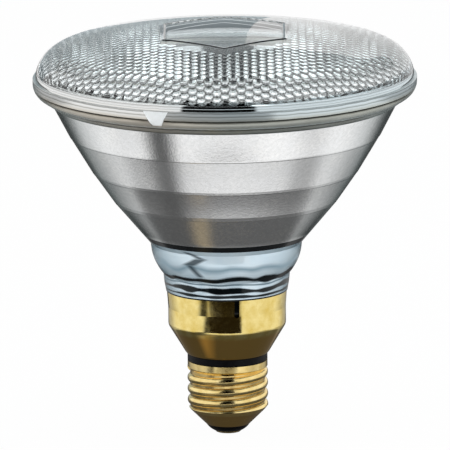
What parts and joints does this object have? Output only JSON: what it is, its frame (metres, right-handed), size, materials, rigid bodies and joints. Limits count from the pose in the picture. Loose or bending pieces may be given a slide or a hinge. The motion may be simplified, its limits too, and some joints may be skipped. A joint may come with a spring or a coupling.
{
  "type": "par spotlight bulb",
  "caption": "Sealed pressed-glass reflector lamp: domed bumped lens, banded mirrored cone, clear neck, slit brass skirt and a right-hand screw base with a centre contact.",
  "frame": {"origin": "tip of the centre contact, on the lamp's axis", "axes": "+Z along the lamp's axis from the contact to the lens; -Y is the side with the skirt slit nearest the front"},
  "size_m": [0.1238, 0.1238, 0.1335],
  "materials": {
    "lens_glass": "clear pressed glass, bumped on the inside",
    "bowl_glass": "clear pressed glass, mirrored inside down to the neck",
    "inner_glass": "clear glass",
    "lead_metal": "bright nickel plated wire",
    "ferrule_metal": "dull grey metal",
    "tungsten": "dark grey drawn wire",
    "skirt_brass": "bright drawn brass",
    "shell_brass": "bright rolled brass",
    "plate_brass": "darkened brass",
    "ring_black": "black, semi gloss",
    "insulator_black": "black glass, gloss",
    "solder": "dull tin grey",
    "copper_wire": "tinned copper"
  },
  "bodies": {
    "root": {"front_lens": "lens_glass", "reflector_bowl": "bowl_glass", "exhaust_tube": "inner_glass", "glass_bridge": "inner_glass", "ferrule_left": "ferrule_metal", "ferrule_right": "ferrule_metal", "lead_support_left": "lead_metal", "lead_support_right": "lead_metal", "filament_anchor": "tungsten", "filament": "tungsten", "base_skirt": "skirt_brass", "insulator_ring": "ring_black", "screw_shell": "shell_brass", "contact_insulator": "insulator_black", "contact_plate": "plate_brass", "contact_solder": "solder", "side_weld": "solder", "lead_wire_contact": "copper_wire", "lead_wire_shell": "copper_wire"}
  },
  "joints": []
}
